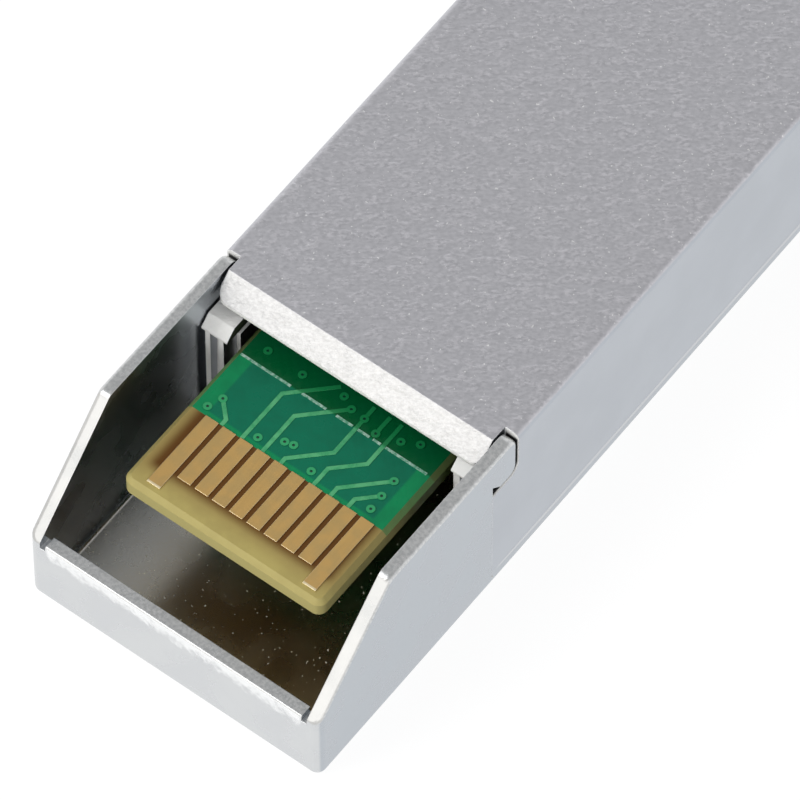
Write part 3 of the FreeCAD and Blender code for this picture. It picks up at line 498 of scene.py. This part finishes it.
# Optical cans and barrels: turned stainless steel, welded end to end, with fine tool marks round them.
# One can holds the laser and the other the photodiode, and each barrel guides a fibre's ferrule to it.
MARK_CLOSENESS = 60.0
optics_steel, tree, shader = new_finish("optics_steel", {"Metallic": 1.0})
spot = use_group(tree, place_group)
marks = reckon(tree, "SINE", reckon(tree, "MULTIPLY", spot["Y"], MARK_CLOSENESS))
cloud = noise(tree, spot["Place"], 0.9, 4.0)
edge = use_group(tree, edge_group, Radius=0.08)
steel = blend(tree, between(tree, cloud, 0.35, 0.65), paint(196, 196, 196), paint(212, 210, 206))
# Edges are lightened, partly as wear and partly as a painted highlight.
tree.links.new(blend(tree, edge["Mask"], steel, paint(232, 232, 230)), shader.inputs["Base Color"])
tree.links.new(between(tree, cloud, 0.3, 0.7, 0.24, 0.36), shader.inputs["Roughness"])
raise_grain(tree, shader, marks, 0.15, 0.01, Normal=edge["Normal"])
dress(optics_steel, "transmitter_can", "transmitter_barrel", "receiver_can", "receiver_barrel")

# Split sleeves: white zirconia tubes with a slit along them, ground and polished.
# They are pushed into the barrels, and grip the fibre's ferrule and line it up.
sleeve_white = plain_finish(
    "sleeve_white", {"Coat Weight": 0.3}, paint(228, 228, 222), paint(242, 242, 238),
    0.3, (0.16, 0.24), 0.004,
)
dress(sleeve_white, "transmitter_sleeve", "receiver_sleeve")

# Flexible circuits: amber polyimide film with etched copper conductors inside it.
# They are soldered to the cans' pins and to the board's front end, and bend once between them.
LANE_PITCH = 0.72
flex_film, tree, shader = new_finish("flex_film", {"Roughness": 0.32, "Specular IOR Level": 0.5})
spot = use_group(tree, place_group)
lanes = reckon(tree, "SINE", reckon(tree, "MULTIPLY", spot["X"], 2 * math.pi / LANE_PITCH))
copper = between(tree, lanes, 0.1, 0.3)
cloud = noise(tree, spot["Place"], 1.8, 3.0)
film = blend(tree, between(tree, cloud, 0.35, 0.65), paint(176, 108, 34), paint(194, 124, 44))
tree.links.new(blend(tree, copper, film, paint(214, 140, 84)), shader.inputs["Base Color"])
raise_grain(tree, shader, copper, 0.3, 0.02)
dress(flex_film, "transmitter_flex", "receiver_flex")

# Optics clamp: a plate moulded in black plastic, with two open slots.
# It snaps over both barrels' necks and holds their flanges against the cradle.
clamp_plastic = plain_finish(
    "clamp_plastic", {}, paint(36, 36, 37), paint(52, 52, 53), 0.15, (0.45, 0.6), 0.02, edge_radius=0.06,
)
dress(clamp_plastic, "optics_clamp")

# Port block: one moulding in black plastic with two square ports, each with a key slot in its floor.
# It is pushed into the nose from the front, and has the mould's fine spark finish.
port_plastic = plain_finish(
    "port_plastic", {}, paint(28, 28, 30), paint(42, 42, 45), 0.08, (0.42, 0.58), 0.015, edge_radius=0.08,
)
dress(port_plastic, "port_block")

# Cast base: zinc, die cast in one piece with its plate, walls, posts, cradle and nose, then nickel plated.
# The plate keeps the die's sandy grain, with small bright specks, and its edges are lightened, partly as
# polish from handling and partly as a painted highlight. Faces towards the rear are painted lighter and near
# white as light from the rear, side faces are painted darker as shade, and the recesses that the cover's tabs
# lie in are painted dark as shade.
GRAIN_TURN = math.radians(37)
POST_TOP_Z = 7.3
POSTS_FRONT_Y = -16.0
RECESS_LOW = (6.14, -17.8, 6.15)
RECESS_HIGH = (6.68, -16.1, 8.2)
cast_nickel, tree, shader = new_finish("cast_nickel", {})
spot = use_group(tree, place_group)
edge = use_group(tree, edge_group, Radius=0.06)
facing = facings(tree)
sideways = between(tree, reckon(tree, "ABSOLUTE", facing["X"]), 0.7, 0.9)
rearward = between(tree, facing["Y"], -0.35, -0.6)
below_plate = between(tree, spot["Z"], POST_TOP_Z, POST_TOP_Z - 0.1)
low_rear = reckon(tree, "MULTIPLY", rearward, below_plate)
# Painted light: faces towards the rear below the plate, faces straight to the rear and the posts' caps are
# painted near white and matt, as if lit by the rear lamp.
painted_lit_white = reckon(tree, "MAXIMUM", low_rear, between(tree, facing["Y"], -0.8, -0.95))
cap_top = reckon(tree, "MULTIPLY", between(tree, facing["Z"], 0.6, 0.8), below_plate)
cap_top = reckon(tree, "MULTIPLY", cap_top, between(tree, spot["Y"], POSTS_FRONT_Y, POSTS_FRONT_Y - 0.1))
painted_lit_white = reckon(tree, "MAXIMUM", painted_lit_white, cap_top)
stretched = {"Vector": spot["Place"], "Rotation": (0.0, 0.0, GRAIN_TURN), "Scale": (1.7, 1.0, 1.0)}
drawn_out = add_node(tree, "ShaderNodeMapping", stretched, vector_type="TEXTURE").outputs[0]
grains = use_group(tree, grain_group, Place=drawn_out, Size=0.12)
patch = noise(tree, drawn_out, 2.6, 2.0)
patch = between(tree, patch, 0.42, 0.64, 0.35, 1.0)
dots = use_group(tree, grain_group, Place=spot["Place"], Size=0.13)["Fleck"]
cloud = noise(tree, spot["Place"], 0.35, 5.0)
sandy = blend(tree, between(tree, grains["Height"], 0.32, 0.68), paint(188, 188, 193), paint(212, 211, 216))
sandy = blend(tree, patch, paint(200, 200, 205), sandy)
sandy = blend(tree, reckon(tree, "MULTIPLY", dots, 0.8), sandy, paint(252, 252, 252))
# Painted shade: side faces get a darker, bluer copy of the nickel.
smooth_shaded_side = blend(tree, between(tree, cloud, 0.35, 0.65), paint(177, 182, 189), paint(181, 186, 193))
# Painted light: faces towards the rear get a lighter copy of the nickel.
bright = blend(tree, between(tree, grains["Height"], 0.3, 0.7), paint(214, 213, 212), paint(240, 239, 238))
nickel = blend(tree, sideways, sandy, smooth_shaded_side)
nickel = blend(tree, rearward, nickel, bright)
nickel = blend(tree, painted_lit_white, nickel, paint(248, 247, 244))
# Painted shade: the recesses that the cover's tabs lie in are painted near black.
recess_shade = window(tree, reckon(tree, "ABSOLUTE", spot["X"]), spot["Y"], RECESS_LOW, RECESS_HIGH, 0.02)
above_foot = between(tree, spot["Z"], RECESS_LOW[2] - 0.05, RECESS_LOW[2])
below_rim = between(tree, spot["Z"], RECESS_HIGH[2] + 0.1, RECESS_HIGH[2] - 0.1)
recess_shade = reckon(tree, "MULTIPLY", recess_shade, reckon(tree, "MULTIPLY", above_foot, below_rim))
nickel = blend(tree, recess_shade, nickel, paint(20, 20, 20))
# Edges are lightened, partly as polish from handling and partly as a painted highlight, but not in the
# recesses.
polish_and_highlight = reckon(tree, "MULTIPLY", edge["Mask"], between(tree, recess_shade, 0.0, 1.0, 0.5, 0.0))
tree.links.new(blend(tree, polish_and_highlight, nickel, paint(236, 236, 238)), shader.inputs["Base Color"])
tree.links.new(between(tree, painted_lit_white, 0.0, 1.0, 1.0, 0.05), shader.inputs["Metallic"])
rough = between(tree, grains["Height"], 0.3, 0.7, 0.34, 0.46)
rough = reckon(tree, "ADD", rough, reckon(tree, "MULTIPLY", rearward, 0.2))
rough = add_node(tree, "ShaderNodeMix", {0: sideways, 2: rough, 3: 0.28}).outputs[0]
tree.links.new(rough, shader.inputs["Roughness"])
height = reckon(tree, "MULTIPLY", grains["Height"], reckon(tree, "SUBTRACT", 1.0, sideways))
height = reckon(tree, "MULTIPLY", height, patch)
raise_grain(tree, shader, height, 0.6, 0.06, Normal=edge["Normal"])
dress(cast_nickel, "base_housing")

# Post web: the casting's own wall between the left post's two ribs, set back from their faces.
# It was cast in one with them, and its face leans by the die's draft.
WEB_LOW = Vector((-5.76, -18.25, 0.66)) * MM
WEB_HIGH = Vector((-5.32, -17.7, 6.55)) * MM
WEB_DRAFT = 0.12 * MM
WEB_ROUND = 0.05 * MM
web_middle = (WEB_LOW + WEB_HIGH) / 2
bpy.ops.object.select_all(action="DESELECT")
bpy.ops.mesh.primitive_cube_add(size=1, location=web_middle, scale=WEB_HIGH - WEB_LOW)
web = bpy.context.object
web.name = "post_web"
bpy.ops.object.transform_apply(location=True, rotation=True, scale=True)
bpy.ops.object.mode_set(mode="EDIT")
pick(web, "VERT", lambda corner: corner.co.y < web_middle.y and corner.co.z > web_middle.z)
bpy.ops.transform.translate(value=(0, WEB_DRAFT, 0))
bpy.ops.object.mode_set(mode="OBJECT")
soft = web.modifiers.new("soft", "BEVEL")
soft.width = WEB_ROUND
soft.segments = 3
bpy.ops.object.modifier_apply(modifier="soft")
web.data.materials.append(cast_nickel)
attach(web, "module")

# Folded cover: thin steel sheet, blanked, folded into a floor, a lip and skirts, and nickel plated.
# Its faces are smooth and a little cloudy, and its cut edges are brighter. Its side faces are painted darker
# as shade, the inner floor carries a warm painted reflection of the board with painted glints, and the lip a
# painted highlight band.
INNER_FLOOR_Z = 0.7
CUT_EDGE_Z = 3.2
LIP_HALF = 6.0
BAND_LOW = 3.6
BAND_HIGH = 4.3
BAND_WANDER = 1.3
TINT_START = -5.0
TINT_END = 6.0
TINT_WANDER = 4.0
COVER_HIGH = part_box("cover_shell")[1]
FLANGE_TOP = 0.92
FLANGE_PROUD = 0.03
sheet_nickel, tree, shader = new_finish("sheet_nickel", {})
spot = use_group(tree, place_group)
edge = use_group(tree, edge_group, Radius=0.05)
facing = facings(tree)
sideways = between(tree, reckon(tree, "ABSOLUTE", facing["X"]), 0.7, 0.9)
grains = use_group(tree, grain_group, Place=spot["Place"], Size=0.14)
cloud = noise(tree, spot["Place"], 0.5, 5.0)
nickel = blend(tree, between(tree, cloud, 0.35, 0.65), paint(206, 208, 210), paint(211, 213, 214))
# Painted shade: side faces get a darker, bluer copy of the nickel.
side = blend(tree, between(tree, cloud, 0.35, 0.65), paint(179, 184, 190), paint(183, 189, 195))
nickel = blend(tree, sideways, nickel, side)
on_floor = between(tree, spot["Z"], INNER_FLOOR_Z, INNER_FLOOR_Z - 0.1)
inner = reckon(tree, "MULTIPLY", between(tree, facing["Z"], 0.7, 0.9), on_floor)
# Painted reflection: the inner floor is tinted warm, more so towards +X, for the board's underside reflected
# in it.
drift = reckon(tree, "ADD", spot["X"], reckon(tree, "MULTIPLY", grains["Height"], TINT_WANDER))
board_reflection_tint = reckon(tree, "MULTIPLY", inner, between(tree, drift, TINT_START, TINT_END, 0.2, 0.95))
nickel = blend(tree, board_reflection_tint, nickel, paint(207, 188, 146))
above_floor = between(tree, spot["Z"], CUT_EDGE_Z, CUT_EDGE_Z + 0.2)
blanked = reckon(tree, "MULTIPLY", between(tree, facing["Z"], 0.1, 0.4), above_floor)
torn = blend(tree, between(tree, grains["Height"], 0.3, 0.7), paint(190, 192, 193), paint(218, 219, 219))
slanted = blend(tree, between(tree, cloud, 0.35, 0.65), paint(188, 188, 186), paint(204, 203, 200))
torn = blend(tree, between(tree, facing["Y"], -0.4, -0.6), torn, slanted)
nickel = blend(tree, blanked, nickel, torn)
# Painted highlight: a white band with a ragged lower edge along the top of the lip's rear face, where its
# rolled-over edge catches the light.
ragged = noise(tree, spot["Place"], 3.2, 4.0)
reach = reckon(tree, "ADD", spot["Z"], reckon(tree, "MULTIPLY", ragged, BAND_WANDER))
in_band = between(tree, reach, BAND_LOW, BAND_HIGH)
rolled = reckon(tree, "MULTIPLY", between(tree, facing["Y"], -0.8, -0.95), in_band)
on_lip = between(tree, reckon(tree, "ABSOLUTE", spot["X"]), LIP_HALF, LIP_HALF - 0.2)
rolled = reckon(tree, "MULTIPLY", rolled, on_lip)
nickel = blend(tree, rolled, nickel, paint(247, 248, 248))
# Painted highlight: a thin lighter line along the flanges' upper edges, outside the skirts.
out_of_skirt = reckon(tree, "SUBTRACT", reckon(tree, "ABSOLUTE", spot["X"]), COVER_HIGH.x / MM)
flange_highlight = between(tree, spot["Z"], FLANGE_TOP - 0.16, FLANGE_TOP - 0.08)
flange_highlight = reckon(tree, "MULTIPLY", flange_highlight, between(tree, out_of_skirt, 0.001, 0.005))
nickel = blend(tree, flange_highlight, nickel, paint(206, 208, 211))
# Painted glints: bright specks on the inner floor, made less metallic so that they stay bright.
painted_glints = reckon(tree, "MULTIPLY", grains["Fleck"], inner)
nickel = blend(tree, painted_glints, nickel, paint(250, 244, 224))
tree.links.new(between(tree, painted_glints, 0.0, 1.0, 1.0, 0.3), shader.inputs["Metallic"])
# Edges are lightened, partly as wear and partly as a painted highlight.
polish_and_highlight = reckon(tree, "MULTIPLY", edge["Mask"], 0.5)
tree.links.new(blend(tree, polish_and_highlight, nickel, paint(240, 240, 240)), shader.inputs["Base Color"])
rough = between(tree, cloud, 0.3, 0.7, 0.24, 0.32)
tree.links.new(reckon(tree, "ADD", rough, reckon(tree, "MULTIPLY", painted_glints, 0.4)), shader.inputs["Roughness"])
relief = between(tree, blanked, 0.0, 1.0, 0.3, 1.0)
relief = reckon(tree, "MULTIPLY", relief, reckon(tree, "SUBTRACT", 1.0, sideways))
height = reckon(tree, "MULTIPLY", grains["Height"], relief)
raise_grain(tree, shader, height, 0.2, 0.03, Normal=edge["Normal"])
dress(sheet_nickel, "cover_shell")

# Cover flanges: the cover's low upturned edges along both walls, folded from the same sheet.
# They hug the casting's walls, and a thin painted highlight runs along their cut upper edges.
FLANGE_LOW = 0.38
FLANGE_DEPTH = 0.3
FLANGE_SLOPE = 0.09
FADE_RUN = 3.0
CAST_REAR = -17.7
wall_x = COVER_HIGH.x / MM
flange_front = COVER_HIGH.y / MM
halves = []
for side in (-1, 1):
    across = side * (wall_x - FLANGE_DEPTH / 2)
    middle = Vector((across, (CAST_REAR + flange_front) / 2, (FLANGE_LOW + FLANGE_TOP) / 2))
    lengths = Vector((FLANGE_DEPTH, flange_front - CAST_REAR, FLANGE_TOP - FLANGE_LOW))
    bpy.ops.object.select_all(action="DESELECT")
    bpy.ops.mesh.primitive_cube_add(size=1, location=middle * MM, scale=lengths * MM)
    half = bpy.context.object
    bpy.ops.object.transform_apply(location=True, rotation=True, scale=True)
    bpy.ops.object.mode_set(mode="EDIT")
    pick(half, "FACE", lambda face: face.normal.x * side > 0.9)
    bpy.ops.mesh.inset(thickness=FLANGE_SLOPE * MM, depth=FLANGE_PROUD * MM)
    proud = COVER_HIGH.x + FLANGE_PROUD * MM / 2
    pick(half, "VERT", lambda corner: abs(corner.co.x) > proud and corner.co.y < 0)
    bpy.ops.transform.translate(value=(0, FADE_RUN * MM, 0))
    bpy.ops.object.mode_set(mode="OBJECT")
    halves.append(half)
flanges = join("cover_flanges", halves)
flanges.data.materials.append(sheet_nickel)
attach(flanges, "module")

# Latch lever and bail: pressed and bent steel, nickel plated, with the rolling direction left in the surface.
# The lever rocks on its pin in the nose. The bail turns with its shaft, which lifts the lever's front tip.
latch_steel, tree, shader = new_finish("latch_steel", {"Metallic": 1.0})
spot = use_group(tree, place_group)
edge = use_group(tree, edge_group, Radius=0.1)
rolled = add_node(tree, "ShaderNodeMapping", {"Vector": spot["Place"], "Scale": (6.0, 0.5, 6.0)}).outputs[0]
streak = noise(tree, rolled, 1.0, 4.0)
steel = blend(tree, between(tree, streak, 0.35, 0.65), paint(202, 203, 206), paint(211, 212, 215))
# Edges are lightened, partly as wear and partly as a painted highlight.
tree.links.new(blend(tree, edge["Mask"], steel, paint(236, 236, 238)), shader.inputs["Base Color"])
tree.links.new(between(tree, streak, 0.3, 0.7, 0.3, 0.36), shader.inputs["Roughness"])
raise_grain(tree, shader, streak, 0.1, 0.01, Normal=edge["Normal"])
dress(latch_steel, "latch_lever", "bail_handle")

# Pin, shaft and screw: bright drawn steel, cut to length, the screw with a headed end.
# The pin is pressed into the nose, and the shaft turns with the bail.
# The screw holds the cover to the cradle.
pin_steel = plain_finish(
    "pin_steel", {"Metallic": 1.0}, paint(196, 196, 198), paint(214, 214, 216), 0.3, (0.2, 0.3), 0.006,
    edge_radius=0.06,
)
dress(pin_steel, "latch_pin", "bail_shaft", "cover_screw")

# Contact strips: thin hard-rolled strip, stamped into fingers and bowed, bright on both faces.
# They sit in recesses of the side walls, and touch the cage that the module slides into.
spring_steel = plain_finish(
    "spring_steel", {"Metallic": 1.0}, paint(211, 208, 200), paint(218, 215, 207), 0.25, (0.26, 0.31), 0.002,
    edge_radius=0.03,
)
dress(spring_steel, "left_contact_strip", "right_contact_strip")

# Leaf spring: one leaf of the same strip, bent over a former, with a flat foot at each end.
# It lies in the well under the lever and pushes the lever's tooth out. The real leaf flattens when the latch
# is drawn; this one keeps its free shape.
LEAF_LOW, LEAF_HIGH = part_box("latch_spring")
LEAF_THICK = 0.12 * MM
LEAF_BEND = 0.3 * MM
LEAF_RUNS = [(2, 1), (1, 0), (2, -1), (1, 0)]
foot = (LEAF_HIGH.y - LEAF_LOW.y) / (1 + sum(along for along, up in LEAF_RUNS))
rise = LEAF_HIGH.z - LEAF_LOW.z - LEAF_THICK
bpy.ops.object.select_all(action="DESELECT")
leaf_start = (0, LEAF_LOW.y + foot / 2, LEAF_LOW.z + LEAF_THICK / 2)
bpy.ops.mesh.primitive_plane_add(size=1, location=leaf_start)
leaf = bpy.context.object
leaf.name = "leaf_spring"
leaf.scale = (LEAF_HIGH.x - LEAF_LOW.x, foot, 1)
bpy.ops.object.transform_apply(location=True, rotation=True, scale=True)
bpy.ops.object.mode_set(mode="EDIT")
pick(leaf, "VERT", lambda corner: corner.co.y > LEAF_LOW.y + foot / 2)
for along, up in LEAF_RUNS:
    bpy.ops.mesh.extrude_edges_move(TRANSFORM_OT_translate={"value": (0, along * foot, up * rise)})


def at_bend(edge):
    """Whether an edge lies across the leaf, between its two feet."""
    first, second = (end.co.y for end in edge.verts)
    crosswise = abs(first - second) < foot / 2
    return crosswise and LEAF_LOW.y + foot / 2 < first < LEAF_HIGH.y - foot / 2


pick(leaf, "EDGE", at_bend)
bpy.ops.mesh.bevel(offset=LEAF_BEND, segments=5, affect="EDGES")
bpy.ops.object.mode_set(mode="OBJECT")
make_solid(leaf, LEAF_THICK, 0.0, LEAF_THICK / 5)
leaf.data.materials.append(spring_steel)
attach(leaf, "module")
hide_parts("latch_spring")
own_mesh(leaf)

# Studio: a plain white floor that the module lies on, seen at full white and keeping a faint shadow.
# It is a painted sheet, much larger than the module, so that its edge is never in view.
FLOOR_SIZE = 4.0
bpy.ops.object.select_all(action="DESELECT")
bpy.ops.mesh.primitive_plane_add(size=FLOOR_SIZE, location=(0, 0, 0))
floor = bpy.context.object
floor.name = "studio_floor"
floor_finish = bpy.data.materials.new("studio_white")
floor_finish.use_nodes = True
tree = floor_finish.node_tree
tree.nodes.clear()
path = add_node(tree, "ShaderNodeLightPath").outputs
seen = reckon(tree, "MAXIMUM", path["Is Camera Ray"], path["Is Glossy Ray"])
seen = reckon(tree, "MAXIMUM", seen, path["Is Transmission Ray"])
lit = add_node(tree, "ShaderNodeBsdfDiffuse", {"Color": (0.8, 0.8, 0.8, 1)}).outputs[0]
faint = add_node(tree, "ShaderNodeBsdfDiffuse", {"Color": (0.22, 0.22, 0.22, 1)}).outputs[0]
glow = add_node(tree, "ShaderNodeEmission", {"Color": (1, 1, 1, 1), "Strength": 0.85}).outputs[0]
white = add_node(tree, "ShaderNodeAddShader", {0: faint, 1: glow}).outputs[0]
surface = add_node(tree, "ShaderNodeMixShader", {0: seen, 1: lit, 2: white}).outputs[0]
add_node(tree, "ShaderNodeOutputMaterial", {"Surface": surface})
floor.data.materials.append(floor_finish)

# Light: a pale surround, white towards the horizon and greyer overhead, as in a light tent.
# A wide soft box hangs low behind the card edge and a smaller one above it.
OVERHEAD = 0.56
world = bpy.data.worlds.new("studio")
bpy.context.scene.world = world
world.use_nodes = True
tree = world.node_tree
tree.nodes.clear()
direction = add_node(tree, "ShaderNodeTexCoord").outputs["Generated"]
height = add_node(tree, "ShaderNodeSeparateXYZ", {0: direction}).outputs["Z"]
strength = between(tree, height, 0.3, 0.8, 1.0, OVERHEAD)
surface = add_node(tree, "ShaderNodeBackground", {"Color": (1, 1, 1, 1), "Strength": strength}).outputs[0]
add_node(tree, "ShaderNodeOutputWorld", {"Surface": surface})


def hang_soft_box(name, direction, distance, width, height, power):
    """A rectangular lamp that faces the module's card-edge end."""
    aim = Vector((0, BOARD_LOW.y, BOARD_HIGH.z))
    lamp = bpy.data.objects.new(name, bpy.data.lights.new(name, "AREA"))
    lamp.data.shape = "RECTANGLE"
    lamp.data.size = width
    lamp.data.size_y = height
    lamp.data.energy = power
    lamp.location = aim + Vector(direction).normalized() * distance
    lamp.rotation_euler = Vector(direction).to_track_quat("Z", "Y").to_euler()
    bpy.context.scene.collection.objects.link(lamp)


hang_soft_box("rear_box", (0.18, -0.92, 0.32), distance=0.5, width=0.9, height=0.26, power=0.62)
hang_soft_box("upper_box", (-0.45, -0.5, 0.75), distance=0.6, width=0.3, height=0.3, power=0.9)

# Camera: a long lens above the card-edge end, turned to the side, as in the photograph.
# Its place comes from the module's own corners, and the shifts frame the module as the photograph does.
AZIMUTH = math.radians(37.446)
ELEVATION = math.radians(58.136)
ROLL = math.radians(-0.154)
AIM = Vector((0, -22.25, 4.0)) * MM
DISTANCE = 401.369 * MM
SHIFT_RIGHT = 4.697 * MM
SHIFT_UP = 4.325 * MM
LENS = 490.46
back = Vector((
    math.sin(AZIMUTH) * math.cos(ELEVATION), -math.cos(AZIMUTH) * math.cos(ELEVATION), math.sin(ELEVATION),
))
level = Vector((math.cos(AZIMUTH), math.sin(AZIMUTH), 0))
steep = back.cross(level)
right = math.cos(ROLL) * level + math.sin(ROLL) * steep
up = math.cos(ROLL) * steep - math.sin(ROLL) * level
camera = bpy.data.objects.new("camera", bpy.data.cameras.new("camera"))
camera.data.sensor_width = 36.0
camera.data.lens = LENS
camera.data.clip_start = 0.01
turned = Matrix((right, up, back)).transposed().to_4x4()
camera.matrix_world = Matrix.Translation(AIM + back * DISTANCE + right * SHIFT_RIGHT + up * SHIFT_UP) @ turned
bpy.context.scene.collection.objects.link(camera)
bpy.context.scene.camera = camera
bpy.context.scene.view_settings.view_transform = "Standard"
